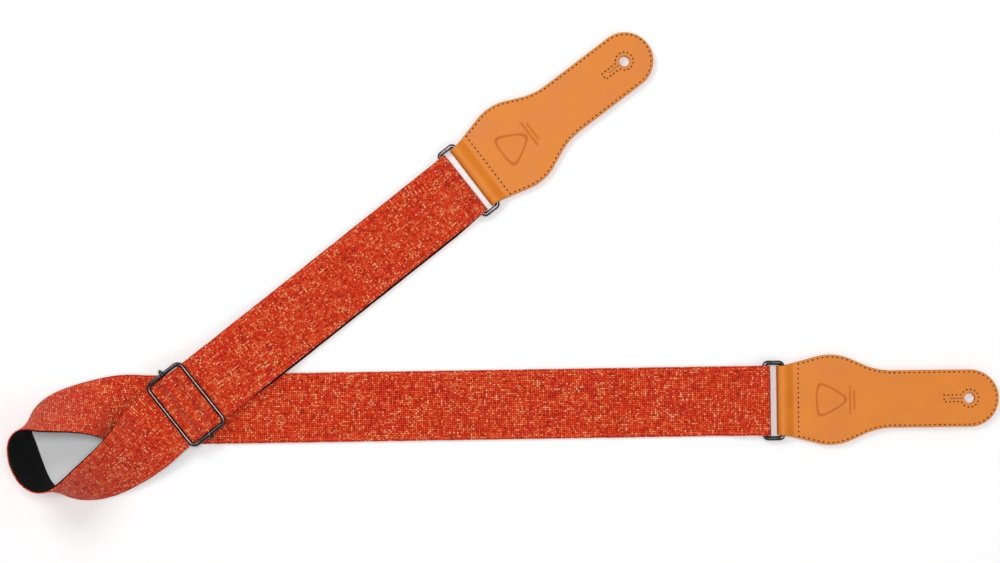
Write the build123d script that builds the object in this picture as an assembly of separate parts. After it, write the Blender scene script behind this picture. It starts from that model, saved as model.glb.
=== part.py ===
from build123d import *
import math
import os

os.makedirs("parts", exist_ok=True)

# Guitar strap laid on a table, all lengths in millimetres, +Z up, table at z = 0.
# A long webbing run leaves ring A, turns over in a standing loop at the left, passes
# through the slider and climbs a diagonal run to ring B. A leather end hangs on each ring.

# Strap
STRAP_WIDTH = 50.0
FACE_THICKNESS = 0.8
BACKING_THICKNESS = 1.4
STRAP_THICKNESS = FACE_THICKNESS + BACKING_THICKNESS
LAYER_GAP = 0.2
UNDERSIDE_LIFT = 0.1
SEAM_INSET = 2.3
SEAM_END = 3.0
SEAM_WIDTH = 0.8
SEAM_DEPTH = 0.3
SEAM_PROUD = 0.05

# Wire fittings
WIRE_RADIUS = 1.6
FITTING_WIDTH = 57.0
RING_BAR_SPACING = 12.6
RING_CORNER = 2.3
SLIDER_BAR_SPACING = 29.3
SLIDER_CORNER = 4.4
SLIDER_WIRE_CLEARANCE = 0.3
CENTRE_BAR_RADIUS = 1.3
HOOK_CLEARANCE = 0.05
HOOK_SWEEP = 185.0
FOLD_CLEARANCE = 0.35
WRAP_CLEARANCE = 0.05

# Leather ends
LEATHER_THICKNESS = 2.3
LINING_THICKNESS = 2.4
TAB_LENGTH = 158.3
TAB_FOLD_HALF = 24.8
TAB_SHAFT_HALF = 20.3
TAB_SHAFT_LENGTH = 55.2
# Half of the plan outline: straight lengths and (radius, turn in degrees) arcs
TAB_SHOULDER = [(1.7, 0), (30, 14.6), (20.6, 0), (36, -38.8), (10.3, 0), (50, 24.2)]
FLAP_LENGTH = 22.0
CROSS_ROW = 15.5
STITCH_INSET = 1.6
STITCH_WIDTH = 0.7
STITCH_DEPTH = 0.3
STITCH_PROUD = 0.15
UNDERSIDE_RECESS = 0.05
HOLE_RADIUS = 3.7
HOLE_FROM_TIP = 20.7
SLIT_LENGTH = 10.2
SLIT_WIDTH = 0.4
KEYHOLE_RADIUS = 6.4
KEYHOLE_HALF = 2.4
KEYHOLE_LENGTH = 18.2
MARK_FROM_FOLD = 37.0
MARK_RADIUS = 9.0
MARK_FILLET = 3.5
MARK_LINE = 0.7
MARK_DEPTH = 0.3

# Plan layout: the two strap ends at their rings, and the directions of the runs
END_A = (182.6, -95.4)
RUN_A_DIRECTION = 0.9
RING_A_DIRECTION = 0.8
TAB_A_DIRECTION = 0.7
RUN_A_LENGTH = 436.1
END_B = (-33.5, 57.8)
RUN_B_DIRECTION = 38.5
RING_B_DIRECTION = 37.95
TAB_B_DIRECTION = 37.4
RUN_B_LENGTH = 249.9
LOOP_EXIT = -18.0
# Loop centreline in plan, with the strap's tilt in degrees from lying flat
LOOP = [
    (-289.5, -99.1, 37),
    (-331.5, -106.1, 69),
    (-343.5, -127.1, 102),
    (-337.5, -145.1, 103),
    (-294.5, -152.1, 55),
    (-258.5, -125.1, 22),
]
LOOP_STATIONS = 60
JOINT_TOLERANCE = 0.05
LOOP_LIFT_START = 0.7

# Sewn ends
TAIL_A = 17.5
TAIL_A_DROP = 19.0
TACK_A_ROWS = (-9.0, -15.0)
TAIL_B = 26.0
TACK_B_ROWS = (20.5, 24.0)
TACK_PITCH = 4.0
TACK_STITCH = 3.0
TACK_WIDTH = 0.6
TACK_SPAN = 42.0

# Levels that follow from the layers
FOLD_RADIUS = WIRE_RADIUS + FOLD_CLEARANCE + BACKING_THICKNESS
RING_Z = UNDERSIDE_LIFT + FACE_THICKNESS + FOLD_RADIUS
UPPER_LAYER = UNDERSIDE_LIFT + STRAP_THICKNESS + LAYER_GAP / 2
OVER_RUN = STRAP_THICKNESS + 2 * LAYER_GAP
OVER_RETURN = OVER_RUN + STRAP_THICKNESS + LAYER_GAP
OVER_TAIL = OVER_RETURN + STRAP_THICKNESS + LAYER_GAP
SLIDER_Z = OVER_TAIL + STRAP_THICKNESS + SLIDER_WIRE_CLEARANCE + WIRE_RADIUS
HOOK_RADIUS = WIRE_RADIUS + HOOK_CLEARANCE + CENTRE_BAR_RADIUS
CENTRE_BAR_Z = SLIDER_Z - HOOK_RADIUS
WRAP_RADIUS = CENTRE_BAR_RADIUS + WRAP_CLEARANCE + BACKING_THICKNESS
CREST_RADIUS = WRAP_RADIUS + STRAP_THICKNESS + LAYER_GAP
CREST_ANGLE = 45.0
HOLLOW_RADIUS = 2.7
HOLLOW_UNDER_RADIUS = HOLLOW_RADIUS + STRAP_THICKNESS + LAYER_GAP
RUN_CLEAR_START = 72.0
DROP_MARGIN = 2.0
BAR_FOOT = 0.8
# Side-profile bends between levels: (radius, angle in degrees)
RING_BEND = (5, 30)
LAYER_BEND = (8, 18)
LONG_BEND = (20, 12)
BAR_BEND = (5, 35)
TAB_BEND = (4, 35)
SIDE_CENTRE = FITTING_WIDTH / 2 - WIRE_RADIUS
FOLD_EDGE = WIRE_RADIUS + FOLD_CLEARANCE + LEATHER_THICKNESS
TAB_TOP = LEATHER_THICKNESS + LINING_THICKNESS
HOLE_X = TAB_LENGTH - FOLD_EDGE - HOLE_FROM_TIP
UP = (0, 0, 1)


def bend(rise, radius, angle, way):
    """S-bend of a side profile; way is 1 heading +x and -1 heading -x."""
    turn = math.copysign(angle, rise) * way
    bow = 2 * radius * (1 - math.cos(math.radians(angle)))
    straight = (abs(rise) - bow) / math.sin(math.radians(angle))
    return [(radius, turn), (straight, 0), (radius, -turn)]


def reach(rise, radius, angle):
    """Horizontal length of the S-bend."""
    first, middle, last = bend(rise, radius, angle, 1)
    return 2 * radius * math.sin(math.radians(angle)) + middle[0] * math.cos(math.radians(angle))


def trace(start, heading, path, offset, y):
    """Edges of a side profile, moved to its left by offset, in the plane at y."""
    x, z = start
    a = math.radians(heading)
    edges = []
    for size, turn in path:
        left = (-math.sin(a), math.cos(a))
        first = (x + offset * left[0], y, z + offset * left[1])
        if turn == 0:
            x += size * math.cos(a)
            z += size * math.sin(a)
            last = (x + offset * left[0], y, z + offset * left[1])
            edges.append(Line(first, last))
            continue
        side = math.copysign(1, turn)
        centre = (x + side * size * left[0], z + side * size * left[1])
        points = [first]
        for share in (0.5, 1.0):
            b = a + math.radians(turn) * share
            radius = size - side * offset
            x, z = side * radius * math.sin(b), side * radius * math.cos(b)
            points.append((centre[0] + x, y, centre[1] - z))
        edges.append(ThreePointArc(*points))
        a += math.radians(turn)
        x = centre[0] + side * size * math.sin(a)
        z = centre[1] - side * size * math.cos(a)
    return edges


def band(start, heading, path, near, far, y0, y1):
    """Solid layer between two offsets of a side profile, from y0 to y1."""
    a = trace(start, heading, path, near, y0)
    b = trace(start, heading, path, far, y0)
    caps = [Line(a[0] @ 0, b[0] @ 0), Line(a[-1] @ 1, b[-1] @ 1)]
    return extrude(make_face(a + b + caps), amount=y1 - y0, dir=(0, 1, 0))


def at(shape, origin, direction):
    return shape.moved(Location((origin[0], origin[1], 0), (0, 0, direction)))


def along(origin, direction, distance):
    a = math.radians(direction)
    return (origin[0] + distance * math.cos(a), origin[1] + distance * math.sin(a))


# Side profile of run A, from the tail's end round the ring and back to the loop
DROP_TO_TAIL = UPPER_LAYER - (RING_Z + FOLD_RADIUS - BACKING_THICKNESS)
RUN_A_USED = reach(DROP_TO_TAIL, *RING_BEND)
RUN_A_PATH = [(TAIL_A, 0), (FOLD_RADIUS, 180)]
RUN_A_PATH += bend(DROP_TO_TAIL, *RING_BEND, -1)
RUN_A_PATH += [(TAIL_A_DROP - RUN_A_USED, 0)]
RUN_A_PATH += bend(-UPPER_LAYER, *LAYER_BEND, -1)
RUN_A_PATH += [(RUN_A_LENGTH - TAIL_A_DROP - reach(-UPPER_LAYER, *LAYER_BEND), 0)]

# Side profile of run B, from the loop over the centre bar, up to the ring, back and round the bar
CREST_RISE = CENTRE_BAR_Z + CREST_RADIUS - OVER_TAIL - BACKING_THICKNESS
CREST_BOW = (HOLLOW_RADIUS + CREST_RADIUS) * (1 - math.cos(math.radians(CREST_ANGLE)))
CREST_STRAIGHT = (CREST_RISE - CREST_BOW) / math.sin(math.radians(CREST_ANGLE))
CREST_REACH = (HOLLOW_RADIUS + CREST_RADIUS) * math.sin(math.radians(CREST_ANGLE))
CREST_REACH += CREST_STRAIGHT * math.cos(math.radians(CREST_ANGLE))
DROP_TO_RETURN = OVER_RETURN - OVER_TAIL
DROP_TO_TABLE = UPPER_LAYER - OVER_RETURN
RISE_TO_RING = -DROP_TO_TAIL
RETURN_RISE = CENTRE_BAR_Z - WRAP_RADIUS - OVER_RUN - FACE_THICKNESS
TAIL_B_DROP = TAIL_B + DROP_MARGIN
CLEAR_REACH = reach(DROP_TO_TABLE, *LONG_BEND)
RUN_B_PATH = [(-LOOP_EXIT - CREST_REACH, 0)]
RUN_B_PATH += [(HOLLOW_RADIUS, CREST_ANGLE), (CREST_STRAIGHT, 0), (CREST_RADIUS, -2 * CREST_ANGLE)]
RUN_B_PATH += [(CREST_STRAIGHT, 0), (HOLLOW_RADIUS, CREST_ANGLE), (TAIL_B_DROP - CREST_REACH, 0)]
RUN_B_PATH += bend(DROP_TO_RETURN, *LAYER_BEND, 1)
RUN_B_PATH += [(RUN_CLEAR_START - TAIL_B_DROP - reach(DROP_TO_RETURN, *LAYER_BEND), 0)]
RUN_B_PATH += bend(DROP_TO_TABLE, *LONG_BEND, 1)
RUN_B_PATH += [(RUN_B_LENGTH - RUN_CLEAR_START - CLEAR_REACH - reach(RISE_TO_RING, *RING_BEND), 0)]
RUN_B_PATH += bend(RISE_TO_RING, *RING_BEND, 1)
RUN_B_PATH += [(FOLD_RADIUS, -180), (RUN_B_LENGTH - RUN_CLEAR_START - CLEAR_REACH, 0)]
RUN_B_PATH += bend(OVER_RUN - UNDERSIDE_LIFT, *LONG_BEND, -1)
RETURN_FOOT = reach(RETURN_RISE, *BAR_BEND) + BAR_FOOT
RETURN_SLACK = CLEAR_REACH - reach(OVER_RUN - UNDERSIDE_LIFT, *LONG_BEND)
RUN_B_PATH += [(RUN_CLEAR_START + RETURN_SLACK - RETURN_FOOT, 0)]
RUN_B_PATH += bend(RETURN_RISE, *BAR_BEND, -1)
RUN_B_PATH += [(BAR_FOOT, 0), (WRAP_RADIUS, -180 - CREST_ANGLE), (CREST_STRAIGHT, 0)]
RUN_B_PATH += [(HOLLOW_UNDER_RADIUS, CREST_ANGLE), (TAIL_B - CREST_REACH, 0)]
SLIDER = along(END_B, RUN_B_DIRECTION, -RUN_B_LENGTH)


def loop_sections(v0, v1, d0, d1):
    """Cross-sections of one layer round the loop, as closed four-sided wires."""
    first = along(END_A, RUN_A_DIRECTION, -RUN_A_LENGTH)
    last = along(SLIDER, RUN_B_DIRECTION, LOOP_EXIT)
    heads = [math.radians(RUN_A_DIRECTION + 180), math.radians(RUN_B_DIRECTION)]
    tangents = [(math.cos(h), math.sin(h), 0) for h in heads]
    guide = Spline((*first, 0), *LOOP, (*last, 0), tangents=tangents)
    wires = []
    for k in range(LOOP_STATIONS + 1):
        u = k / LOOP_STATIONS
        p = guide.position_at(u)
        t = guide.tangent_at(u)
        head = math.atan2(t.Y, t.X)
        tilt = math.radians(p.Z)
        up, flat = math.sin(tilt), math.cos(tilt)
        width = Vector(-math.sin(head) * flat, math.cos(head) * flat, up)
        normal = Vector(math.sin(head) * up, -math.cos(head) * up, flat)
        share = max(0, (u - LOOP_LIFT_START) / (1 - LOOP_LIFT_START))
        lift = OVER_TAIL * share * share * (3 - 2 * share)
        rest = BACKING_THICKNESS * flat if flat > 0 else -FACE_THICKNESS * flat
        centre = Vector(p.X, p.Y, STRAP_WIDTH / 2 * up + rest + lift)
        corners = [centre + width * v + normal * d for v, d in ((v0, d0), (v1, d0), (v1, d1), (v0, d1))]
        wires.append(Wire.make_polygon(corners, close=True))
    return wires


def middle(shape):
    corners = shape.vertices()
    return sum((Vector(*v) for v in corners), Vector(0, 0, 0)) / len(corners)


def runs(v0, v1, d0, d1, trim=0.0):
    """One layer of the two straight runs, each in its own frame; trim stops short of the loop."""
    path_a = RUN_A_PATH[:-1] + [(RUN_A_PATH[-1][0] - trim, 0)]
    path_b = [(RUN_B_PATH[0][0] - trim, 0)] + RUN_B_PATH[1:]
    start_a = (-TAIL_A, UNDERSIDE_LIFT + FACE_THICKNESS)
    start_b = (LOOP_EXIT + trim, OVER_TAIL + BACKING_THICKNESS)
    run_a = band(start_a, 0, path_a, -d0, -d1, -v1, -v0)
    run_b = band(start_b, 0, path_b, d0, d1, v0, v1)
    return run_a, run_b


def strap_layer(d0, d1, cuts_a, cuts_b):
    """One layer of the whole strap, d0 to d1 out from the layers' interface, as one solid."""
    half = STRAP_WIDTH / 2
    run_a, run_b = runs(-half, half, d0, d1)
    for cut in cuts_a:
        run_a -= cut
    for cut in cuts_b:
        run_b -= cut
    sections = loop_sections(-half, half, d0, d1)
    loop = Solid.make_loft(sections)
    joints = [middle(sections[0]), middle(sections[-1])]
    skin = []
    for part in (at(run_a, END_A, RUN_A_DIRECTION), loop, at(run_b, SLIDER, RUN_B_DIRECTION)):
        for side in part.faces():
            if all((middle(side) - joint).length > JOINT_TOLERANCE for joint in joints):
                skin.append(side)
    return Solid(Shell(skin))


def edge_seam(v):
    """Row of edge stitches sunk in the face layer of both straight runs."""
    half = SEAM_WIDTH / 2
    return runs(v - half, v + half, FACE_THICKNESS - SEAM_DEPTH, FACE_THICKNESS + SEAM_PROUD, SEAM_END)


def tack(rows, z0, z1):
    """Rows of short stitches sewn down through two layers."""
    count = int(TACK_SPAN / TACK_PITCH)
    stitches = []
    for x in rows:
        for k in range(count + 1):
            y = (k - count / 2) * TACK_PITCH
            stitches.append(Pos(x, y, (z0 + z1) / 2) * Box(TACK_WIDTH, TACK_STITCH, z1 - z0))
    return Compound(children=stitches)


def wire_loop(spacing, corner, z):
    path = RectangleRounded(spacing, FITTING_WIDTH - 2 * WIRE_RADIUS, corner).wire()
    path = path.moved(Location((0, 0, z)))
    start = Plane(origin=path @ 0, z_dir=path % 0)
    return sweep(start * Circle(WIRE_RADIUS), path=path)


def centre_bar():
    """Straight bar whose ends hook up round the outside of the slider's short sides."""
    rod = Pos(0, 0, CENTRE_BAR_Z) * Rot(90, 0, 0) * Cylinder(CENTRE_BAR_RADIUS, 2 * SIDE_CENTRE)
    bar = rod
    for side in (-1, 1):
        arc = CenterArc((0, 0), HOOK_RADIUS, -90, HOOK_SWEEP)
        arc = Plane((0, side * SIDE_CENTRE, SLIDER_Z), x_dir=(0, side, 0), z_dir=(side, 0, 0)) * arc
        bar += sweep(Plane(origin=arc @ 0, z_dir=arc % 0) * Circle(CENTRE_BAR_RADIUS), path=arc)
    return bar


def tab_outline(inset=0.0, start=0.0):
    """Plan of a leather end, x measured from the ring bar's axis and cut off at x = start."""
    mirrored = [TAB_SHOULDER[-1 - k] for k in range(len(TAB_SHOULDER))]
    path = TAB_SHOULDER + [(TAB_SHAFT_LENGTH, 0), (TAB_SHAFT_HALF, -180), (TAB_SHAFT_LENGTH, 0)] + mirrored
    edges = trace((-FOLD_EDGE, TAB_FOLD_HALF), 0, path, -inset, 0)
    edges.append(Line(edges[-1] @ 1, edges[0] @ 0))
    face = Rot(-90, 0, 0) * make_face(edges)
    return face & Pos(start + TAB_LENGTH, 0) * Rectangle(2 * TAB_LENGTH, 4 * TAB_SHAFT_HALF)


def seam_ring(inset, start):
    """Closed row of stitches inside the tab's edge and across it."""
    half = STITCH_WIDTH / 2
    return tab_outline(inset - half, start - half) - tab_outline(inset + half, start + half)


def keyhole_shape(grow):
    length = KEYHOLE_LENGTH + grow
    rows = Pos(HOLE_X - length / 2, 0) * Rectangle(length, 2 * (KEYHOLE_HALF + grow))
    return Pos(HOLE_X, 0) * Circle(KEYHOLE_RADIUS + grow) + rows


def keyhole_cut():
    slit = SLIT_LENGTH + HOLE_RADIUS
    cut = Pos(HOLE_X, 0, 0) * Cylinder(HOLE_RADIUS, 3 * TAB_TOP)
    return cut + Pos(HOLE_X - slit / 2, 0, 0) * Box(slit, SLIT_WIDTH, 3 * TAB_TOP)


def mark():
    """Shallow plectrum outline pressed into the leather."""
    pick = RegularPolygon(MARK_RADIUS, 3)
    pick = fillet(pick.vertices(), MARK_FILLET)
    ring = offset(pick, amount=MARK_LINE / 2) - offset(pick, amount=-MARK_LINE / 2)
    return Pos(MARK_FROM_FOLD - FOLD_EDGE, 0, TAB_TOP - MARK_DEPTH) * extrude(ring, amount=2 * MARK_DEPTH)


def tab_parts():
    """Leather, lining and their four threads, with the ring bar's axis at x = 0."""
    inner = WIRE_RADIUS + FOLD_CLEARANCE
    drop = LINING_THICKNESS - RING_Z - inner
    flap = FLAP_LENGTH - FOLD_EDGE
    path = [(flap, 0), (inner, -180)] + bend(drop, *TAB_BEND, 1)
    path += [(TAB_LENGTH - FOLD_EDGE - reach(drop, *TAB_BEND), 0)]
    half = 2 * TAB_SHAFT_HALF
    leather = band((flap, LEATHER_THICKNESS), 180, path, 0, LEATHER_THICKNESS, -half, half)
    leather &= extrude(tab_outline(0, -TAB_LENGTH), amount=4 * RING_Z, dir=UP)
    lining = extrude(tab_outline(0, flap + STITCH_DEPTH), amount=LINING_THICKNESS, dir=UP)
    seam = seam_ring(STITCH_INSET, CROSS_ROW - FOLD_EDGE)
    key = keyhole_shape(STITCH_WIDTH / 2) - keyhole_shape(-STITCH_WIDTH / 2)
    height = STITCH_DEPTH + STITCH_PROUD
    recess = STITCH_DEPTH + UNDERSIDE_RECESS
    threads = [
        Pos(0, 0, TAB_TOP - STITCH_DEPTH) * extrude(seam, amount=height, dir=UP),
        Pos(0, 0, UNDERSIDE_RECESS) * extrude(seam, amount=STITCH_DEPTH, dir=UP),
        Pos(0, 0, TAB_TOP - STITCH_DEPTH) * extrude(key, amount=height, dir=UP),
        Pos(0, 0, UNDERSIDE_RECESS) * extrude(key, amount=STITCH_DEPTH, dir=UP),
    ]
    undersides = [extrude(row, amount=recess, dir=UP) for row in (seam, key)]
    for groove in [threads[0], threads[2]] + undersides:
        leather -= groove
        lining -= groove
    return [leather - keyhole_cut() - mark(), lining - keyhole_cut()] + threads


tack_a = tack(TACK_A_ROWS, UNDERSIDE_LIFT, UPPER_LAYER + STRAP_THICKNESS + SEAM_PROUD)
tack_b = tack(TACK_B_ROWS, OVER_RUN, OVER_RETURN + STRAP_THICKNESS)
seam_v = STRAP_WIDTH / 2 - SEAM_INSET
seams = [edge_seam(seam_v), edge_seam(-seam_v)]
cuts_a = [tack_a, seams[0][0], seams[1][0]]
cuts_b = [tack_b, seams[0][1], seams[1][1]]
seam_nodes = []
for seam_a, seam_b in seams:
    placed = [at(seam_a - tack_a, END_A, RUN_A_DIRECTION), at(seam_b - tack_b, SLIDER, RUN_B_DIRECTION)]
    seam_nodes.append(Compound(children=placed))

nodes = {
    "strap_face": strap_layer(0, FACE_THICKNESS, cuts_a, cuts_b),
    "strap_backing": strap_layer(-BACKING_THICKNESS, 0, [tack_a], [tack_b]),
    "strap_seam_inner": seam_nodes[0],
    "strap_seam_outer": seam_nodes[1],
    "ring_a_tack": at(tack_a, END_A, RUN_A_DIRECTION),
    "slider_tack": at(tack_b, SLIDER, RUN_B_DIRECTION),
    "slider_frame": at(wire_loop(SLIDER_BAR_SPACING, SLIDER_CORNER, SLIDER_Z), SLIDER, RUN_B_DIRECTION),
    "slider_bar": at(centre_bar(), SLIDER, RUN_B_DIRECTION),
}
ends = [
    ("a", END_A, RING_A_DIRECTION, TAB_A_DIRECTION),
    ("b", END_B, RING_B_DIRECTION, TAB_B_DIRECTION),
]
tab_names = ["leather", "lining", "seam_top", "seam_bottom", "keyhole_top", "keyhole_bottom"]
tab = tab_parts()
for letter, end, ring_direction, tab_direction in ends:
    ring = wire_loop(RING_BAR_SPACING, RING_CORNER, RING_Z)
    nodes["ring_" + letter] = at(ring, along(end, ring_direction, RING_BAR_SPACING / 2), ring_direction)
    hinge = along(end, ring_direction, RING_BAR_SPACING)
    for name, shape in zip(tab_names, tab):
        nodes["tab_" + letter + "_" + name] = at(shape, hinge, tab_direction)

for name, shape in nodes.items():
    export_step(shape, "parts/" + name + ".step")
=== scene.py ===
import math

import bmesh
import bpy
import numpy as np
from mathutils import Matrix, Vector


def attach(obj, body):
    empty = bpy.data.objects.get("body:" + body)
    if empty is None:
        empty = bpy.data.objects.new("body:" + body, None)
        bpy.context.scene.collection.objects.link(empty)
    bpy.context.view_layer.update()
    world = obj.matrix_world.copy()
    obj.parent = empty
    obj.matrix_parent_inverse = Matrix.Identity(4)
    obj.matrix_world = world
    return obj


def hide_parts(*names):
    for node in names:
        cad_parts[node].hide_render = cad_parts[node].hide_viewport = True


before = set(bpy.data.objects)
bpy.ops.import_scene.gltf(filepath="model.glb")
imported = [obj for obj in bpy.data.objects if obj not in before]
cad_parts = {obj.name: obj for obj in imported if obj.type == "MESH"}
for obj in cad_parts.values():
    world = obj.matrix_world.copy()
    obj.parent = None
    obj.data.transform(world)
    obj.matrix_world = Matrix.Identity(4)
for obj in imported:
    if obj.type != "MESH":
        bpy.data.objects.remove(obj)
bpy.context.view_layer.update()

MM = 0.001

# Driving dimensions of the strap and its fittings, in millimetres, as in the CAD part
WIDTH = 50.0
FACE = 0.8
BACKING = 1.4
THICK = FACE + BACKING
GAP = 0.2
LIFT = 0.1
WIRE = 1.6
RING_SPACING = 12.6
FOLD_CLEARANCE = 0.35
WRAP_CLEARANCE = 0.05
SLIDER_CLEARANCE = 0.3
BAR_RADIUS = 1.3
SEAM_INSET = 2.3
END_A, RUN_A_DEG, RING_A_DEG, TAB_A_DEG, RUN_A_LENGTH = (182.6, -95.4), 0.9, 0.8, 0.7, 436.1
END_B, RUN_B_DEG, RING_B_DEG, TAB_B_DEG, RUN_B_LENGTH = (-33.5, 57.8), 38.5, 37.95, 37.4, 249.9
LOOP_EXIT = -18.0
LOOP_LIFT_START = 0.7
# Loop centreline in plan, with the strap's tilt in degrees from lying flat
LOOP = [
    (-289.5, -99.1, 37),
    (-331.5, -106.1, 69),
    (-343.5, -127.1, 102),
    (-337.5, -145.1, 103),
    (-294.5, -152.1, 55),
    (-258.5, -125.1, 22),
]
TAIL_A, TAIL_A_DROP, TACK_A_ROWS = 17.5, 19.0, (-9.0, -15.0)
TAIL_B, TACK_B_ROWS = 26.0, (20.5, 24.0)
TACK_PITCH, TACK_STITCH, TACK_SPAN = 4.0, 3.0, 42.0
LEATHER, LINING = 2.3, 2.4
TAB_TOP = LEATHER + LINING
TAB_LENGTH, TAB_FOLD_HALF, TAB_SHAFT_HALF, TAB_SHAFT_LENGTH = 158.3, 24.8, 20.3, 55.2
TAB_SHOULDER = [(1.7, 0), (30, 14.6), (20.6, 0), (36, -38.8), (10.3, 0), (50, 24.2)]
CROSS_ROW, STITCH_INSET = 15.5, 1.6
HOLE_FROM_TIP, HOLE_RADIUS, SLIT_LENGTH = 20.7, 3.7, 10.2
KEYHOLE_RADIUS, KEYHOLE_HALF, KEYHOLE_LENGTH = 6.4, 2.4, 18.2
MARK_FROM_FOLD = 37.0
MARK_REACH, MARK_SOFTNESS, MARK_LINE, MARK_PRESS = 8.4, 3.2, 0.75, 0.35
MARK_LINES_FROM, MARK_LINES_APART, MARK_LINES = 15.4, 3.0, (10.0, 7.0)
CREST_DEG, HOLLOW = 45.0, 2.7
DROP_MARGIN, BAR_FOOT = 2.0, 0.8
# Side-profile bends between levels: (radius, angle in degrees)
RING_BEND, LAYER_BEND, LONG_BEND, BAR_BEND = (5, 30), (8, 18), (20, 12), (5, 35)

# Levels that follow from the layers
FOLD = WIRE + FOLD_CLEARANCE + BACKING
RING_Z = LIFT + FACE + FOLD
UPPER = LIFT + THICK + GAP / 2
OVER_RUN = THICK + 2 * GAP
OVER_RETURN = OVER_RUN + THICK + GAP
OVER_TAIL = OVER_RETURN + THICK + GAP
SLIDER_Z = OVER_TAIL + THICK + SLIDER_CLEARANCE + WIRE
BAR_Z = SLIDER_Z - (WIRE + WRAP_CLEARANCE + BAR_RADIUS)
WRAP = BAR_RADIUS + WRAP_CLEARANCE + BACKING
CREST = WRAP + THICK + GAP
HOLLOW_UNDER = HOLLOW + THICK + GAP
CLEAR_START = 72.0
FOLD_EDGE = WIRE + FOLD_CLEARANCE + LEATHER
HOLE_X = TAB_LENGTH - FOLD_EDGE - HOLE_FROM_TIP

# Sideways slip of the doubled-back layer, and the length over which it comes and goes
RETURN_SLIP, SLIP_EASE = 1.4, 30.0

# Cut edges: waves as (height, length / 2 pi, phase), how far they are drawn in, and the band
# they show in. Then the groove of the edge seam, and the gap between face and backing.
EDGE_WAVES = ((0.14, 9.1, 1.0), (0.1, 3.7, 2.3))
EDGE_WAVE_SHARE, EDGE_DRAWN_IN, EDGE_BAND = 0.5, 0.12, 1.0
SEAM_SINK, SEAM_SINK_WIDTH, LAYER_GAP = 0.12, 0.7, 0.02

# Stitching: thread radii, pitches, and how deep each row is sunk
EDGE_THREAD, TACK_A_THREAD, TACK_B_THREAD, TAB_THREAD = 0.33, 0.32, 0.3, 0.34
EDGE_START, EDGE_PITCH, EDGE_SHARE, EDGE_SUNK = 2.0, 3.4, 0.8, 0.06
TACK_UNDER, TACK_SUNK = 0.14, 0.1
STITCH_PITCH, KEYHOLE_PITCH, STITCH_GAP = 3.55, 2.9, 0.17
TOP_SUNK, UNDER_LIFT = 0.12, 0.24
# One stitch from end to end: (share of its length, share of its radius)
STITCH_PROFILE = [
    (0.0, 0.15), (0.08, 0.62), (0.25, 0.95), (0.5, 1.0),
    (0.75, 0.95), (0.92, 0.62), (1.0, 0.15),
]
STITCH_FLATTEN, END_SINK = 0.7, 0.5
# Needle holes, drawn as flat dashes of painted shadow between the stitches
NEEDLE_HALF, NEEDLE_RADIUS, NEEDLE_PROUD, NEEDLE_FLATTEN = 0.75, 0.62, 0.04, 0.3

# Leather skins: remesh voxels, slit, softness and shade of the pressed mark, and which
# vertices it may press (how far they face up, how near the top they lie)
SKIN_VOXELS = (("leather", 0.5), ("lining", 0.6))
SLIT_WIDTH, MARK_FADE, MARK_SHADE = 0.5, 0.35, 0.55
FACES_UP, SKIN_DEPTH = 0.7, 0.9

# Weave: (along, across) thread pitches, and what makes one thread differ from the next
FACE_PITCHES, BACK_PITCHES = (1.4, 1.3), (1.0, 1.6)
THREAD_SHUFFLE, SLUB_STRETCH, CROSSING_JITTER = 7.31, 0.12, 0.15
WARP_SEED, WEFT_SEED, UNDER_SHARE = 3.0, 11.0, 0.35

# Setting, in metres, with lights as (name, place, size, watts)
LIGHTS = [
    ("key", (-0.9, 0.9, 1.5), 0.7, 11),
    ("fill", (1.2, -0.7, 1.6), 1.2, 5),
    ("top", (0.05, 0.15, 2.7), 0.7, 34),
]
WORLD_LIGHT = 0.36
FLOOR_HALF, FLOOR_DROP = 6.0, 0.0002
CAMERA_PLACE, CAMERA_LENS, CAMERA_SENSOR = (-0.0062, -0.0105, 1.8), 90.7, 36.0


def along(origin, degrees, distance):
    a = math.radians(degrees)
    return (origin[0] + distance * math.cos(a), origin[1] + distance * math.sin(a))


SLIDER = along(END_B, RUN_B_DEG, -RUN_B_LENGTH)
HINGE_A = along(END_A, RING_A_DEG, RING_SPACING)
HINGE_B = along(END_B, RING_B_DEG, RING_SPACING)


# ---------------------------------------------------------------- strap path

def bend(rise, radius, angle, way):
    """S-bend of a side profile; way is 1 heading +x and -1 heading -x."""
    turn = math.copysign(angle, rise) * way
    bow = 2 * radius * (1 - math.cos(math.radians(angle)))
    straight = (abs(rise) - bow) / math.sin(math.radians(angle))
    return [(radius, turn), (straight, 0), (radius, -turn)]


def reach(rise, radius, angle):
    """Horizontal length of the S-bend."""
    straight = bend(rise, radius, angle, 1)[1][0]
    a = math.radians(angle)
    return 2 * radius * math.sin(a) + straight * math.cos(a)


def run_a_path():
    drop = UPPER - (RING_Z + FOLD - BACKING)
    path = [(TAIL_A, 0), (FOLD, 180)]
    path += bend(drop, *RING_BEND, -1)
    path += [(TAIL_A_DROP - reach(drop, *RING_BEND), 0)]
    path += bend(-UPPER, *LAYER_BEND, -1)
    return path + [(RUN_A_LENGTH - TAIL_A_DROP - reach(-UPPER, *LAYER_BEND), 0)]


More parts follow.
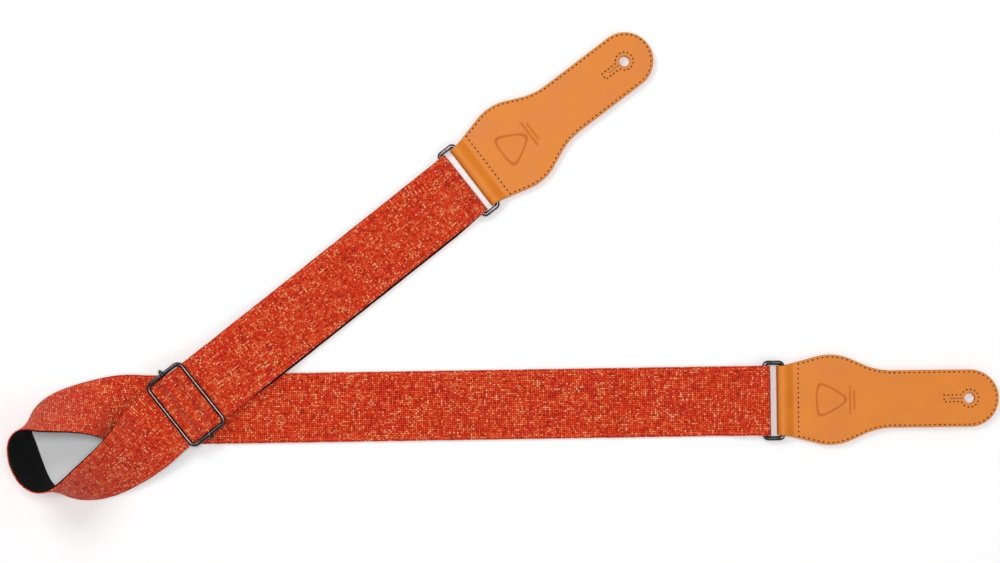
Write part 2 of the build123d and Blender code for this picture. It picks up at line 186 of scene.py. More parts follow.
def run_b_path():
    a = math.radians(CREST_DEG)
    rise = BAR_Z + CREST - OVER_TAIL - BACKING
    straight = (rise - (HOLLOW + CREST) * (1 - math.cos(a))) / math.sin(a)
    crest_reach = (HOLLOW + CREST) * math.sin(a) + straight * math.cos(a)
    to_return, to_table = OVER_RETURN - OVER_TAIL, UPPER - OVER_RETURN
    to_ring = RING_Z + FOLD - BACKING - UPPER
    return_rise = BAR_Z - WRAP - OVER_RUN - FACE
    tail_drop = TAIL_B + DROP_MARGIN
    clear = reach(to_table, *LONG_BEND)
    path = [(-LOOP_EXIT - crest_reach, 0), (HOLLOW, CREST_DEG), (straight, 0), (CREST, -2 * CREST_DEG)]
    path += [(straight, 0), (HOLLOW, CREST_DEG), (tail_drop - crest_reach, 0)]
    path += bend(to_return, *LAYER_BEND, 1)
    path += [(CLEAR_START - tail_drop - reach(to_return, *LAYER_BEND), 0)]
    path += bend(to_table, *LONG_BEND, 1)
    path += [(RUN_B_LENGTH - CLEAR_START - clear - reach(to_ring, *RING_BEND), 0)]
    path += bend(to_ring, *RING_BEND, 1)
    path += [(FOLD, -180), (RUN_B_LENGTH - CLEAR_START - clear, 0)]
    path += bend(OVER_RUN - LIFT, *LONG_BEND, -1)
    foot = reach(return_rise, *BAR_BEND) + BAR_FOOT
    slack = clear - reach(OVER_RUN - LIFT, *LONG_BEND)
    path += [(CLEAR_START + slack - foot, 0)]
    path += bend(return_rise, *BAR_BEND, -1)
    path += [(BAR_FOOT, 0), (WRAP, -180 - CREST_DEG), (straight, 0)]
    return path + [(HOLLOW_UNDER, CREST_DEG), (TAIL_B - crest_reach, 0)]


def shifted(x, z, a, offset):
    """A path's point moved to its left, and the left-hand normal where it heads a."""
    return (x - offset * math.sin(a), z + offset * math.cos(a), -math.sin(a), math.cos(a))


def turtle(start, heading, path, offset=0.0, step=2.5, arc_step=12.0):
    """Points and left-hand normals along straight lengths and (radius, turn) arcs."""
    x, z = start
    a = math.radians(heading)
    out = []
    for size, turn in path:
        if turn == 0:
            count = max(1, int(math.ceil(abs(size) / step)))
            for k in range(count):
                px = x + size * k / count * math.cos(a)
                pz = z + size * k / count * math.sin(a)
                out.append(shifted(px, pz, a, offset))
            x += size * math.cos(a)
            z += size * math.sin(a)
            continue
        side = math.copysign(1, turn)
        cx, cz = x - side * size * math.sin(a), z + side * size * math.cos(a)
        length = abs(math.radians(turn)) * size
        count = max(2, int(math.ceil(max(abs(turn) / arc_step, length / step))))
        for k in range(count):
            b = a + math.radians(turn) * k / count
            r = size - side * offset
            px, pz = cx + side * r * math.sin(b), cz - side * r * math.cos(b)
            out.append((px, pz, -math.sin(b), math.cos(b)))
        a += math.radians(turn)
        x, z = cx + side * size * math.sin(a), cz - side * size * math.cos(a)
    out.append(shifted(x, z, a, offset))
    return out


def run_stations(start, path, origin, degrees, face_side, width_side):
    a = math.radians(degrees)
    ex, ey = Vector((math.cos(a), math.sin(a), 0)), Vector((-math.sin(a), math.cos(a), 0))
    base = Vector((*origin, 0))
    stations = []
    for x, z, nx, nz in turtle(start, 0, path):
        place = base + ex * x + Vector((0, 0, z))
        normal = (ex * nx + Vector((0, 0, nz))) * face_side
        stations.append((place, ey * width_side, normal))
    return stations


def clamped_spline(points, first, last, count):
    """Smooth curve through the points with given end directions, by chord length."""
    p = np.array(points, float)
    h = np.linalg.norm(np.diff(p, axis=0), axis=1)
    n = len(p)
    m = np.zeros((n, n))
    rhs = np.zeros_like(p)
    m[0, 0] = m[-1, -1] = 1
    rhs[0], rhs[-1] = first, last
    for i in range(1, n - 1):
        m[i, i - 1], m[i, i], m[i, i + 1] = h[i], 2 * (h[i - 1] + h[i]), h[i - 1]
        rhs[i] = 3 * (h[i] * (p[i] - p[i - 1]) / h[i - 1] + h[i - 1] * (p[i + 1] - p[i]) / h[i])
    d = np.linalg.solve(m, rhs)
    t = np.concatenate([[0], np.cumsum(h)])
    out = []
    for u in np.linspace(0, t[-1], count):
        i = min(int(np.searchsorted(t, u, "right")) - 1, n - 2)
        s = (u - t[i]) / h[i]
        q = (2 * s**3 - 3 * s**2 + 1) * p[i] + (s**3 - 2 * s**2 + s) * h[i] * d[i]
        q += (3 * s**2 - 2 * s**3) * p[i + 1] + (s**3 - s**2) * h[i] * d[i + 1]
        out.append(q)
    return np.array(out)


def loop_stations(count=150):
    first = along(END_A, RUN_A_DEG, -RUN_A_LENGTH)
    last = along(SLIDER, RUN_B_DEG, LOOP_EXIT)
    ends = [math.radians(RUN_A_DEG + 180), math.radians(RUN_B_DEG)]
    tangents = [(math.cos(h), math.sin(h), 0) for h in ends]
    line = clamped_spline([(*first, 0), *LOOP, (*last, 0)], *tangents, count)
    slope = np.gradient(line, axis=0)
    stations = []
    for k in range(1, count - 1):
        x, y, tilt = line[k]
        head = math.atan2(slope[k][1], slope[k][0])
        up, flat = math.sin(math.radians(tilt)), math.cos(math.radians(tilt))
        share = max(0, (k / (count - 1) - LOOP_LIFT_START) / (1 - LOOP_LIFT_START))
        lift = OVER_TAIL * share * share * (3 - 2 * share)
        rest = BACKING * flat if flat > 0 else -FACE * flat
        place = Vector((x, y, WIDTH / 2 * abs(up) + rest + lift))
        width = Vector((-math.sin(head) * flat, math.cos(head) * flat, up))
        normal = Vector((math.sin(head) * up, -math.cos(head) * up, flat))
        stations.append((place, width, normal))
    return stations


def eased(share):
    share = max(0.0, min(1.0, share))
    return share * share * (3 - 2 * share)


def slip_return_layer(stations):
    """The doubled-back layer of run B lies a little to one side, so its dark edge shows."""
    reaches = [(place - Vector((*SLIDER, 0))).length for place, width, normal in stations]
    fold = reaches.index(max(reaches))
    slipped = []
    for k, (place, width, normal) in enumerate(stations):
        slip = 0.0
        if k > fold:
            coming = eased((reaches[fold] - reaches[k]) / SLIP_EASE)
            going = eased((reaches[k] - SLIP_EASE) / SLIP_EASE)
            slip = RETURN_SLIP * coming * going
        slipped.append((place - width * slip, width, normal))
    return slipped


def strap_stations():
    a = run_stations((-TAIL_A, LIFT + FACE), run_a_path(), END_A, RUN_A_DEG, -1, -1)
    b = run_stations((LOOP_EXIT, OVER_TAIL + BACKING), run_b_path(), SLIDER, RUN_B_DEG, 1, 1)
    return a + loop_stations() + slip_return_layer(b)


STATIONS = strap_stations()
LENGTHS = [0.0]
for before, after in zip(STATIONS, STATIONS[1:]):
    LENGTHS.append(LENGTHS[-1] + (after[0] - before[0]).length)
STRAP_LENGTH = LENGTHS[-1]


def wobble(s, seed):
    """Small slow waviness of a cut edge."""
    return sum(height * math.sin(s / length + phase * seed) for height, length, phase in EDGE_WAVES)


# ---------------------------------------------------------------- materials

def material(name, roughness, metallic=0.0):
    mat = bpy.data.materials.new(name)
    mat.use_nodes = True
    shader = mat.node_tree.nodes["Principled BSDF"]
    shader.inputs["Roughness"].default_value = roughness
    shader.inputs["Metallic"].default_value = metallic
    return mat, mat.node_tree, shader


def add(tree, kind, **values):
    node = tree.nodes.new(kind)
    for key, value in values.items():
        setattr(node, key, value)
    return node


def join(tree, source, target):
    tree.links.new(source, target)


def value(tree, operation, a, b=None):
    node = add(tree, "ShaderNodeMath", operation=operation)
    for slot, item in zip(node.inputs, (a, b)):
        if item is None:
            continue
        if isinstance(item, (int, float)):
            slot.default_value = item
        else:
            join(tree, item, slot)
    return node.outputs[0]


def ramp(tree, factor, stops):
    node = add(tree, "ShaderNodeValToRGB")
    elements = node.color_ramp.elements
    while len(elements) < len(stops):
        elements.new(0.5)
    for element, (place, colour) in zip(elements, stops):
        element.position = place
        element.color = (*colour, 1)
    join(tree, factor, node.inputs[0])
    return node.outputs[0]


def blend_colour(tree, factor, a, b, mode="MIX"):
    node = add(tree, "ShaderNodeMix", data_type="RGBA", blend_type=mode)
    for slot, item in zip((node.inputs[0], node.inputs[6], node.inputs[7]), (factor, a, b)):
        if isinstance(item, (int, float)):
            slot.default_value = item
        elif isinstance(item, tuple):
            slot.default_value = (*item, 1)
        else:
            join(tree, item, slot)
    return node.outputs[2]


def noise(tree, vector, scale, detail=3.0, roughness=0.55):
    node = add(tree, "ShaderNodeTexNoise")
    node.inputs["Scale"].default_value = scale
    node.inputs["Detail"].default_value = detail
    node.inputs["Roughness"].default_value = roughness
    join(tree, vector, node.inputs["Vector"])
    return node.outputs["Fac"]


def stretched(tree, vector, x, y, z=1.0):
    node = add(tree, "ShaderNodeMapping")
    node.inputs["Scale"].default_value = (x, y, z)
    join(tree, vector, node.inputs["Vector"])
    return node.outputs["Vector"]


def cloth_coordinates(tree):
    """Places in the flat cloth: X along it and Y across it, in millimetres."""
    source = add(tree, "ShaderNodeAttribute", attribute_name="cloth")
    parts = add(tree, "ShaderNodeSeparateXYZ")
    join(tree, source.outputs["Vector"], parts.inputs[0])
    return source.outputs["Vector"], parts.outputs[0], parts.outputs[1]


def thread_set(tree, across, length, pitch, seed):
    """Parallel threads: their rounded height, index, and a random number along each."""
    turns = value(tree, "DIVIDE", across, pitch)
    index = value(tree, "FLOOR", turns)
    inside = value(tree, "SUBTRACT", turns, index)
    height = value(tree, "SINE", value(tree, "MULTIPLY", inside, math.pi))
    place = add(tree, "ShaderNodeCombineXYZ")
    join(tree, value(tree, "MULTIPLY", index, THREAD_SHUFFLE), place.inputs[0])
    join(tree, value(tree, "MULTIPLY", length, SLUB_STRETCH), place.inputs[1])
    place.inputs[2].default_value = seed
    return height, index, noise(tree, place.outputs[0], 1.0, 4.0, 0.7)


def thread_lift(tree, thread, on_top):
    """A thread stands at full height where it is on top, and low where it passes under."""
    share = value(tree, "ADD", value(tree, "MULTIPLY", on_top, 1 - UNDER_SHARE), UNDER_SHARE)
    return value(tree, "MULTIPLY", thread, share)


def weave(tree, x, y, pitch_x, pitch_y):
    """Plain weave: its height, and the slub number of whichever thread is on top."""
    warp, warp_index, warp_slub = thread_set(tree, y, x, pitch_y, WARP_SEED)
    weft, weft_index, weft_slub = thread_set(tree, x, y, pitch_x, WEFT_SEED)
    checks = value(tree, "ADD", warp_index, weft_index)
    over = value(tree, "ABSOLUTE", value(tree, "MODULO", checks, 2.0))
    under = value(tree, "SUBTRACT", 1.0, over)
    warp_lift = thread_lift(tree, warp, over)
    weft_lift = thread_lift(tree, weft, under)
    height = value(tree, "MAXIMUM", warp_lift, weft_lift)
    pick = value(tree, "GREATER_THAN", warp_lift, weft_lift)
    a = value(tree, "MULTIPLY", warp_slub, pick)
    b = value(tree, "MULTIPLY", weft_slub, value(tree, "SUBTRACT", 1.0, pick))
    crossing = add(tree, "ShaderNodeCombineXYZ")
    join(tree, warp_index, crossing.inputs[0])
    join(tree, weft_index, crossing.inputs[1])
    chance = add(tree, "ShaderNodeTexWhiteNoise", noise_dimensions="3D")
    join(tree, crossing.outputs[0], chance.inputs["Vector"])
    centred = value(tree, "SUBTRACT", chance.outputs["Value"], 0.5)
    jitter = value(tree, "MULTIPLY", centred, CROSSING_JITTER)
    return height, value(tree, "ADD", value(tree, "ADD", a, b), jitter)


def bump(tree, shader, height, strength, distance):
    node = add(tree, "ShaderNodeBump")
    node.inputs["Strength"].default_value = strength
    node.inputs["Distance"].default_value = distance
    join(tree, height, node.inputs["Height"])
    join(tree, node.outputs["Normal"], shader.inputs["Normal"])


def face_fabric():
    mat, tree, shader = material("face_weave", 0.88)
    vector, x, y = cloth_coordinates(tree)
    height, slub = weave(tree, x, y, *FACE_PITCHES)
    colour = ramp(tree, slub, [
        (0.32, (0.26, 0.003, 0.001)),
        (0.42, (0.70, 0.014, 0.003)),
        (0.51, (0.94, 0.042, 0.007)),
        (0.58, (1.0, 0.17, 0.04)),
        (0.67, (1.0, 0.55, 0.27)),
    ])
    cloud = noise(tree, stretched(tree, vector, 0.016, 0.03), 1.0, 2.0)
    warm = blend_colour(tree, value(tree, "MULTIPLY", cloud, 0.3), colour, (0.95, 0.11, 0.012))
    # Painted shade: the colour is darkened where the weave is low, in the gaps between threads and
    # where a thread passes under
    shade = ramp(tree, height, [(0.26, (0.14, 0.025, 0.018)), (0.82, (1, 1, 1))])
    join(tree, blend_colour(tree, 1.0, warm, shade, "MULTIPLY"), shader.inputs["Base Color"])
    fibre = noise(tree, stretched(tree, vector, 3.0, 9.0), 1.0, 2.0)
    bump(tree, shader, value(tree, "ADD", height, value(tree, "MULTIPLY", fibre, 0.25)), 0.8, 0.0005)
    shader.inputs["Sheen Weight"].default_value = 0.08
    shader.inputs["Specular IOR Level"].default_value = 0.2
    return mat


def backing_fabric():
    mat, tree, shader = material("backing_weave", 0.92)
    vector, x, y = cloth_coordinates(tree)
    height, slub = weave(tree, x, y, *BACK_PITCHES)
    colour = ramp(tree, slub, [(0.3, (0.003, 0.003, 0.0035)), (0.7, (0.012, 0.011, 0.012))])
    # Painted shade: the colour is darkened where the weave is low, in the gaps between threads and
    # where a thread passes under
    shade = ramp(tree, height, [(0.15, (0.4, 0.4, 0.4)), (0.7, (1, 1, 1))])
    join(tree, blend_colour(tree, 1.0, colour, shade, "MULTIPLY"), shader.inputs["Base Color"])
    bump(tree, shader, height, 0.7, 0.0004)
    shader.inputs["Specular IOR Level"].default_value = 0.15
    return mat


def leather():
    mat, tree, shader = material("tan_leather", 0.5)
    place = add(tree, "ShaderNodeTexCoord").outputs["Object"]
    mottle = noise(tree, place, 45.0, 5.0)
    colour = ramp(tree, mottle, [
        (0.3, (0.64, 0.178, 0.012)),
        (0.52, (0.68, 0.200, 0.016)),
        (0.72, (0.71, 0.220, 0.021)),
    ])
    rim = add(tree, "ShaderNodeAttribute", attribute_name="rim").outputs["Fac"]
    edge = ramp(tree, rim, [(0.2, (1, 1, 1)), (0.8, (0.50, 0.30, 0.18))])
    join(tree, blend_colour(tree, 1.0, colour, edge, "MULTIPLY"), shader.inputs["Base Color"])
    pores = add(tree, "ShaderNodeTexVoronoi", feature="DISTANCE_TO_EDGE")
    pores.inputs["Scale"].default_value = 1400.0
    join(tree, place, pores.inputs["Vector"])
    pitted = value(tree, "MULTIPLY", pores.outputs["Distance"], 0.7)
    grain = value(tree, "ADD", pitted, noise(tree, place, 900.0, 3.0))
    bump(tree, shader, grain, 0.22, 0.00025)
    gloss = ramp(tree, mottle, [(0.3, (0.42, 0.42, 0.42)), (0.7, (0.56, 0.56, 0.56))])
    join(tree, gloss, shader.inputs["Roughness"])
    shader.inputs["Specular IOR Level"].default_value = 0.25
    return mat


def thread(name, dark, light, shine=0.5):
    mat, tree, shader = material(name, 0.7)
    shader.inputs["Specular IOR Level"].default_value = shine
    place = add(tree, "ShaderNodeTexCoord").outputs["Object"]
    fibre = noise(tree, place, 2600.0, 3.0)
    join(tree, ramp(tree, fibre, [(0.3, dark), (0.7, light)]), shader.inputs["Base Color"])
    bump(tree, shader, fibre, 0.5, 0.0002)
    return mat


def dark_nickel():
    mat, tree, shader = material("dark_nickel_plate", 0.2, 1.0)
    place = add(tree, "ShaderNodeTexCoord").outputs["Object"]
    tarnish = noise(tree, place, 160.0, 4.0)
    plate = ramp(tree, tarnish, [(0.3, (0.045, 0.04, 0.04)), (0.7, (0.10, 0.092, 0.09))])
    join(tree, plate, shader.inputs["Base Color"])
    gloss = ramp(tree, tarnish, [(0.3, (0.10, 0.10, 0.10)), (0.7, (0.20, 0.20, 0.20))])
    join(tree, gloss, shader.inputs["Roughness"])
    bump(tree, shader, noise(tree, place, 300.0, 2.0), 0.03, 0.0001)
    return mat


def floor_white():
    mat, tree, shader = material("pale_floor", 0.9)
    place = add(tree, "ShaderNodeTexCoord").outputs["Object"]
    tone = ramp(tree, noise(tree, place, 3.0), [(0.3, (0.93, 0.93, 0.93)), (0.7, (0.95, 0.95, 0.95))])
    join(tree, tone, shader.inputs["Base Color"])
    return mat


FACE_CLOTH = face_fabric()
BACK_CLOTH = backing_fabric()
LEATHER_SKIN = leather()
FACE_THREAD = thread("face_thread_twist", (0.42, 0.015, 0.003), (0.85, 0.11, 0.02))
TAN_THREAD = thread("tan_thread_twist", (0.42, 0.15, 0.03), (0.72, 0.30, 0.07))
# Painted shadow colour for the needle holes
NEEDLE_HOLE_SHADOW = thread("needle_hole_shadow", (0.045, 0.011, 0.002), (0.095, 0.026, 0.005), shine=0.1)
NICKEL = dark_nickel()


# ---------------------------------------------------------------- mesh helpers

def new_object(name, verts, faces, mat, body, smooth=True):
    mesh = bpy.data.meshes.new(name)
    mesh.from_pydata([tuple(v) for v in verts], [], faces)
    mesh.validate()
    mesh.polygons.foreach_set("use_smooth", [smooth] * len(mesh.polygons))
    obj = bpy.data.objects.new(name, mesh)
    bpy.context.scene.collection.objects.link(obj)
    mesh.materials.append(mat)
    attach(obj, body)
    return obj


def write_attribute(obj, name, values):
    kind = "FLOAT_VECTOR" if hasattr(values[0], "__len__") else "FLOAT"
    layer = obj.data.attributes.new(name, kind, "POINT")
    flat = np.array(values, np.float32).ravel()
    layer.data.foreach_set("vector" if kind == "FLOAT_VECTOR" else "value", flat)


def outward(obj):
    mesh = bmesh.new()
    mesh.from_mesh(obj.data)
    bmesh.ops.recalc_face_normals(mesh, faces=mesh.faces)
    mesh.to_mesh(obj.data)
    mesh.free()


def layer_section(near, far, across=22):
    """Closed cross-section of a cloth layer: (v, d) pairs with rounded edges."""
    half = WIDTH / 2
    round_off = (far - near) * 0.42
    top = []
    for k in range(across + 1):
        v = -half + round_off + (WIDTH - 2 * round_off) * k / across
        top.append((v, far))
    right = [(half, far - round_off), (half, near + round_off)]
    bottom = [(-v, near) for v, d in top]
    left = [(-half, near + round_off), (-half, far - round_off)]
    return top + right + bottom + left


def edge_shift(s, v):
    """How far the cut edge at v is drawn in from the strap's full width."""
    if abs(v) <= WIDTH / 2 - EDGE_BAND:
        return 0
    wave = math.copysign(wobble(s, 1.0 if v > 0 else 4.0), -v)
    return wave * EDGE_WAVE_SHARE - math.copysign(EDGE_DRAWN_IN, v)


def seam_sink(v):
    """Depth of the groove that the edge stitching pulls into the face."""
    return SEAM_SINK * math.exp(-((abs(v) - (WIDTH / 2 - SEAM_INSET)) / SEAM_SINK_WIDTH) ** 2)


def cloth_layer(name, near, far, mat, nodes):
    section = layer_section(near, far)
    verts, places = [], []
    for (place, width, normal), s in zip(STATIONS, LENGTHS):
        for v, d in section:
            sink = seam_sink(v) if d == far and near >= 0 else 0
            verts.append((place + width * (v + edge_shift(s, v)) + normal * (d - sink)) * MM)
            places.append((s, v + WIDTH, d))
    n = len(section)
    faces = []
    for k in range(len(STATIONS) - 1):
        for j in range(n):
            a, b = k * n + j, k * n + (j + 1) % n
            faces.append((a, b, b + n, a + n))
    faces += [tuple(range(n)), tuple(reversed(range(len(verts) - n, len(verts))))]
    obj = new_object(name, verts, faces, mat, "strap")
    write_attribute(obj, "cloth", places)
    outward(obj)
    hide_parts(*nodes)
    return obj


def capsule(verts, faces, a, b, up, radius, flatten, sides=8):
    """Rounded stitch from a to b, sunk at its ends."""
    axis = (b - a).normalized()
    side = axis.cross(up).normalized()
    start = len(verts)
    for share, scale in STITCH_PROFILE:
        centre = a.lerp(b, share) - up * radius * flatten * END_SINK * (1 - math.sin(math.pi * share))
        for k in range(sides):
            t = 2 * math.pi * k / sides
            out = side * math.cos(t) * radius * scale
            verts.append((centre + out + up * math.sin(t) * radius * scale * flatten) * MM)
    for r in range(len(STITCH_PROFILE) - 1):
        for k in range(sides):
            p, q = start + r * sides + k, start + r * sides + (k + 1) % sides
            faces.append((p, q, q + sides, p + sides))
    faces.append(tuple(start + k for k in reversed(range(sides))))
    last = start + (len(STITCH_PROFILE) - 1) * sides
    faces.append(tuple(last + k for k in range(sides)))


def stitched(name, runs, mat, body, radius, nodes=(), flatten=STITCH_FLATTEN):
    """runs are lists of (start, end, up), each one stitch."""
    verts, faces = [], []
    for a, b, up in runs:
        capsule(verts, faces, a, b, up, radius, flatten)
    obj = new_object(name, verts, faces, mat, body)
    outward(obj)
    if nodes:
        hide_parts(*nodes)
    return obj


# ---------------------------------------------------------------- strap

def station_at(s):
    i = min(max(int(np.searchsorted(LENGTHS, s)) - 1, 0), len(STATIONS) - 2)
    share = (s - LENGTHS[i]) / max(LENGTHS[i + 1] - LENGTHS[i], 1e-6)
    a, b = STATIONS[i], STATIONS[i + 1]
    return tuple(p.lerp(q, share) for p, q in zip(a, b))


def edge_stitches(side):
    runs = []
    count = int((STRAP_LENGTH - 2 * EDGE_START) / EDGE_PITCH)
    v = side * (WIDTH / 2 - SEAM_INSET)
    for k in range(count):
        s = EDGE_START + k * EDGE_PITCH
        ends = []
        for t in (s, s + EDGE_PITCH * EDGE_SHARE):
            place, width, normal = station_at(t)
            ends.append(place + width * v + normal * (FACE - EDGE_SUNK))
        runs.append((ends[0], ends[1], station_at(s + EDGE_PITCH / 2)[2].normalized()))
    return runs


def tack_stitches(origin, degrees, rows, low, high):
    a = math.radians(degrees)
    ex, ey = Vector((math.cos(a), math.sin(a), 0)), Vector((-math.sin(a), math.cos(a), 0))
    base, up = Vector((*origin, 0)), Vector((0, 0, 1))
    runs = []
    count = int(TACK_SPAN / TACK_PITCH)
    for x in rows:
        for k in range(count + 1):
            y = (k - count / 2) * TACK_PITCH
            for z, way in ((high, up), (low, -up)):
                level = Vector((0, 0, z))
                ends = [base + ex * x + ey * (y + e * TACK_STITCH / 2) + level for e in (-1, 1)]
                runs.append((ends[0], ends[1], way))
    return runs


def make_strap():
    face = cloth_layer("strap_face_cloth", 0.0, FACE, FACE_CLOTH, ["strap_face"])
    back = cloth_layer("strap_backing_web", -BACKING, -LAYER_GAP, BACK_CLOTH,
                       ["strap_backing"])
    for side, label in ((1, "inner"), (-1, "outer")):
        stitched("edge_stitches_" + label, edge_stitches(side), FACE_THREAD, "strap",
                              EDGE_THREAD, ["strap_seam_" + label])
    tack_a = tack_stitches(END_A, RUN_A_DEG, TACK_A_ROWS, LIFT + TACK_UNDER, UPPER + THICK)
    stitched("ring_a_tack_stitches", tack_a, FACE_THREAD, "strap", TACK_A_THREAD,
             ["ring_a_tack"])
    tack_b = tack_stitches(SLIDER, RUN_B_DEG, TACK_B_ROWS, OVER_RUN, OVER_RETURN + THICK - TACK_SUNK)
    stitched("slider_tack_stitches", tack_b, FACE_THREAD, "strap", TACK_B_THREAD,
             ["slider_tack"])


# ---------------------------------------------------------------- leather ends

def tab_frame(hinge, degrees):
    return Matrix.Translation(Vector((*hinge, 0)) * MM) @ Matrix.Rotation(math.radians(degrees), 4, "Z")


def outline(inset):
    tip = [(TAB_SHAFT_LENGTH, 0), (TAB_SHAFT_HALF, -180), (TAB_SHAFT_LENGTH, 0)]
    path = TAB_SHOULDER + tip + list(reversed(TAB_SHOULDER))
    points = turtle((-FOLD_EDGE, TAB_FOLD_HALF), 0, path, offset=-inset, step=0.8, arc_step=3.0)
    return [(x, y) for x, y, nx, ny in points]


def even_steps(points, pitch):
    """Points spaced evenly along a polyline, close to the pitch."""
    p = np.array(points)
    s = np.concatenate([[0], np.cumsum(np.linalg.norm(np.diff(p, axis=0), axis=1))])
    count = max(1, int(round(s[-1] / pitch)))
    at = np.linspace(0, s[-1], count + 1)
    return list(zip(np.interp(at, s, p[:, 0]), np.interp(at, s, p[:, 1])))


def seam_line():
    """Perimeter stitch line, from the cross row round the tip and back, then across."""
    cross = CROSS_ROW - FOLD_EDGE
    kept = [(x, y) for x, y in outline(STITCH_INSET) if x >= cross]
    return kept, [(cross, kept[-1][1]), (cross, kept[0][1])]


def keyhole_line():
    start = math.asin(KEYHOLE_HALF / KEYHOLE_RADIUS)
    arc = []
    for k in range(41):
        t = math.pi - start - (2 * math.pi - 2 * start) * k / 40
        arc.append((HOLE_X + KEYHOLE_RADIUS * math.cos(t), KEYHOLE_RADIUS * math.sin(t)))
    end = HOLE_X - KEYHOLE_LENGTH
    return [(end, KEYHOLE_HALF)] + arc + [(end, -KEYHOLE_HALF), (end, KEYHOLE_HALF)]


def thread_line(points, pitch, placed, z, way):
    """Stitches along a line, with a dash of painted shadow for the needle hole between each."""
    steps = even_steps(points, pitch)
    up = Vector((0, 0, way))
    spots = [placed @ (Vector((x, y, z)) * MM) / MM for x, y in steps]
    stitches, holes = [], []
    for a, b in zip(spots, spots[1:]):
        stitches.append((a.lerp(b, STITCH_GAP), a.lerp(b, 1 - STITCH_GAP), up))
    for spot, ahead in zip(spots, spots[1:] + [spots[-1] * 2 - spots[-2]]):
        way_on = (ahead - spot).normalized() * NEEDLE_HALF
        level = up * NEEDLE_PROUD
        holes.append((spot - way_on + level, spot + way_on + level, up))
    return stitches, holes


def rounded_copy(node, name, voxel, body):
    """Rounded, slightly softened skin of a leather node."""
    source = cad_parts[node]
    mesh = source.data.copy()
    obj = bpy.data.objects.new(name, mesh)
    bpy.context.scene.collection.objects.link(obj)
    for kind in ("REMESH", "SMOOTH"):
        obj.modifiers.new(kind, kind)
    obj.modifiers["REMESH"].mode = "VOXEL"
    obj.modifiers["REMESH"].voxel_size = voxel * MM
    obj.modifiers["SMOOTH"].factor = 0.5
    obj.modifiers["SMOOTH"].iterations = 3
    graph = bpy.context.evaluated_depsgraph_get()
    done = bpy.data.meshes.new_from_object(obj.evaluated_get(graph))
    obj.modifiers.clear()
    obj.data = done
    done.materials.clear()
    done.materials.append(LEATHER_SKIN)
    done.polygons.foreach_set("use_smooth", [True] * len(done.polygons))
    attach(obj, body)
    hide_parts(node)
    return obj


def pressed_mark(x, y):
    """1 on the pressed plectrum outline and the plain lines beside it, falling off to 0."""
    px, py = x - (MARK_FROM_FOLD - FOLD_EDGE), y
    reaches = []
    for k in range(3):
        t = 2 * math.pi * k / 3
        reaches.append(px * math.cos(t + math.pi) + py * math.sin(t + math.pi))
    rounded = sum(math.exp(r / MARK_SOFTNESS) for r in reaches)
    ring = abs(MARK_SOFTNESS * math.log(rounded) - MARK_REACH)
    near = ring - MARK_LINE / 2
    for k, half in enumerate(MARK_LINES):
        here = MARK_LINES_FROM + MARK_LINES_APART * k
        near = min(near, max(abs(px - here) - MARK_LINE / 2, abs(py) - half))
    return max(0.0, min(1.0, 1 - near / MARK_FADE))


def press_and_shade(obj, placed, pressed):
    """Presses the mark in and records where the leather is darker: cut edges and pressed lines."""
    back = placed.inverted()
    mesh = obj.data
    normals = [v.normal.copy() for v in mesh.vertices]
    rims = []
    for v, n in zip(mesh.vertices, normals):
        rim = 1 - abs(n.z)
        p = (back @ v.co) / MM
        if pressed and n.z > FACES_UP and p.z > TAB_TOP - SKIN_DEPTH and p.x < HOLE_X / 2:
            depth = pressed_mark(p.x, p.y)
            v.co.z -= MARK_PRESS * MM * depth
            rim = max(rim, MARK_SHADE * depth)
        rims.append(rim)
    write_attribute(obj, "rim", rims)


def cut_slit(obj, placed):
    """Opens the slit from the button hole towards the strap."""
    mesh = bpy.data.meshes.new("slit_cutter")
    tool = bmesh.new()
    bmesh.ops.create_cube(tool, size=1.0)
    slit = SLIT_LENGTH + HOLE_RADIUS
    size = Matrix.Diagonal((slit * MM, SLIT_WIDTH * MM, 4 * TAB_TOP * MM, 1))
    tool.transform(placed @ Matrix.Translation(Vector((HOLE_X - slit / 2, 0, 0)) * MM) @ size)
    tool.to_mesh(mesh)
    tool.free()
    cutter = bpy.data.objects.new("slit_cutter", mesh)
    bpy.context.scene.collection.objects.link(cutter)
    cut = obj.modifiers.new("slit", "BOOLEAN")
    cut.operation = "DIFFERENCE"
    cut.object = cutter
    graph = bpy.context.evaluated_depsgraph_get()
    done = bpy.data.meshes.new_from_object(obj.evaluated_get(graph))
    obj.modifiers.clear()
    obj.data = done
    bpy.data.objects.remove(cutter)


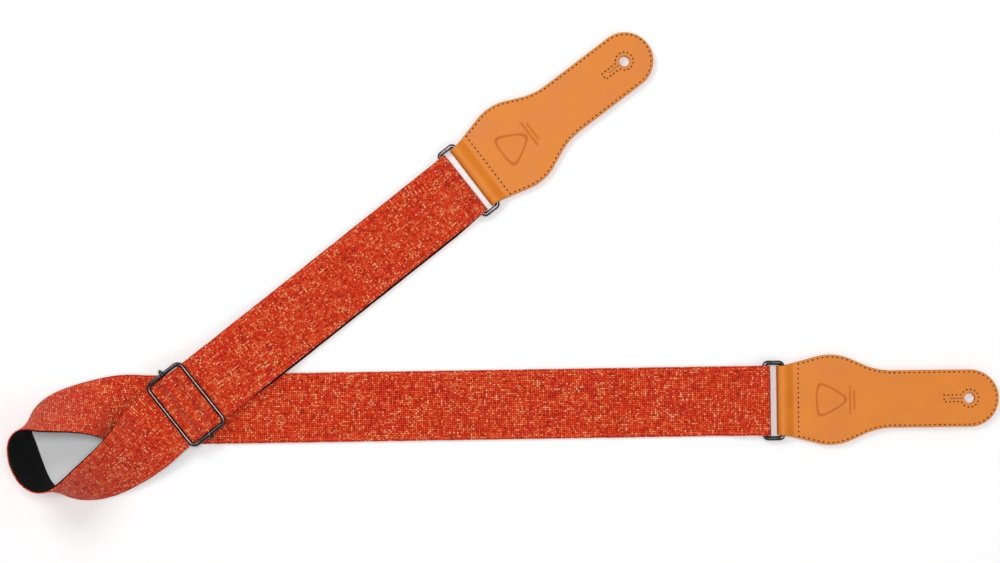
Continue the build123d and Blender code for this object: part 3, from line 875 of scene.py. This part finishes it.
def make_tab(letter, hinge, degrees):
    placed = tab_frame(hinge, degrees)
    body = "tab_" + letter
    prefix = body + "_"
    for part, voxel in SKIN_VOXELS:
        obj = rounded_copy(prefix + part, prefix + part + "_skin", voxel, body)
        cut_slit(obj, placed)
        press_and_shade(obj, placed, part == "leather")
    row, cross = seam_line()
    rows = (("seam", (row, cross), STITCH_PITCH), ("keyhole", (keyhole_line(),), KEYHOLE_PITCH))
    for face, z, way in (("top", TAB_TOP - TOP_SUNK, 1), ("bottom", UNDER_LIFT, -1)):
        for kind, lines, pitch in rows:
            stitches, holes = [], []
            for line in lines:
                more_stitches, more_holes = thread_line(line, pitch, placed, z, way)
                stitches += more_stitches
                holes += more_holes
            node = prefix + kind + "_" + face
            stitched(node + "_stitches", stitches, TAN_THREAD, body, TAB_THREAD,
                     [node])
            stitched(node + "_hole_shadow_dashes", holes, NEEDLE_HOLE_SHADOW, body, NEEDLE_RADIUS,
                     flatten=NEEDLE_FLATTEN)


# ---------------------------------------------------------------- metal

def plate_metal():
    for node in ("slider_frame", "slider_bar", "ring_a", "ring_b"):
        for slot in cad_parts[node].material_slots:
            slot.material = NICKEL


# ---------------------------------------------------------------- setting

def make_floor():
    side = FLOOR_HALF
    corners = [(-side, -side), (side, -side), (side, side), (-side, side)]
    mesh = bpy.data.meshes.new("floor")
    mesh.from_pydata([(x, y, -FLOOR_DROP) for x, y in corners], [], [(0, 1, 2, 3)])
    floor = bpy.data.objects.new("floor", mesh)
    bpy.context.scene.collection.objects.link(floor)
    mesh.materials.append(floor_white())


def make_light(name, place, size, power):
    """Square soft light aimed at the middle of the table."""
    data = bpy.data.lights.new(name, "AREA")
    data.size = size
    data.energy = power
    light = bpy.data.objects.new(name, data)
    light.location = place
    light.rotation_euler = (-Vector(place)).to_track_quat("-Z", "Y").to_euler()
    bpy.context.scene.collection.objects.link(light)


def make_world():
    world = bpy.data.worlds.new("studio")
    world.use_nodes = True
    background = world.node_tree.nodes["Background"]
    background.inputs["Color"].default_value = (1, 1, 1, 1)
    background.inputs["Strength"].default_value = WORLD_LIGHT
    bpy.context.scene.world = world


def make_camera():
    """Camera straight above, as in the photograph."""
    camera = bpy.data.cameras.new("camera")
    camera.lens = CAMERA_LENS
    camera.sensor_width = CAMERA_SENSOR
    eye = bpy.data.objects.new("camera", camera)
    eye.location = CAMERA_PLACE
    bpy.context.scene.collection.objects.link(eye)
    bpy.context.scene.camera = eye


def make_setting():
    make_floor()
    for light in LIGHTS:
        make_light(*light)
    make_world()
    make_camera()
    bpy.context.scene.view_settings.view_transform = "Standard"


make_setting()
make_strap()
make_tab("a", HINGE_A, TAB_A_DEG)
make_tab("b", HINGE_B, TAB_B_DEG)
plate_metal()
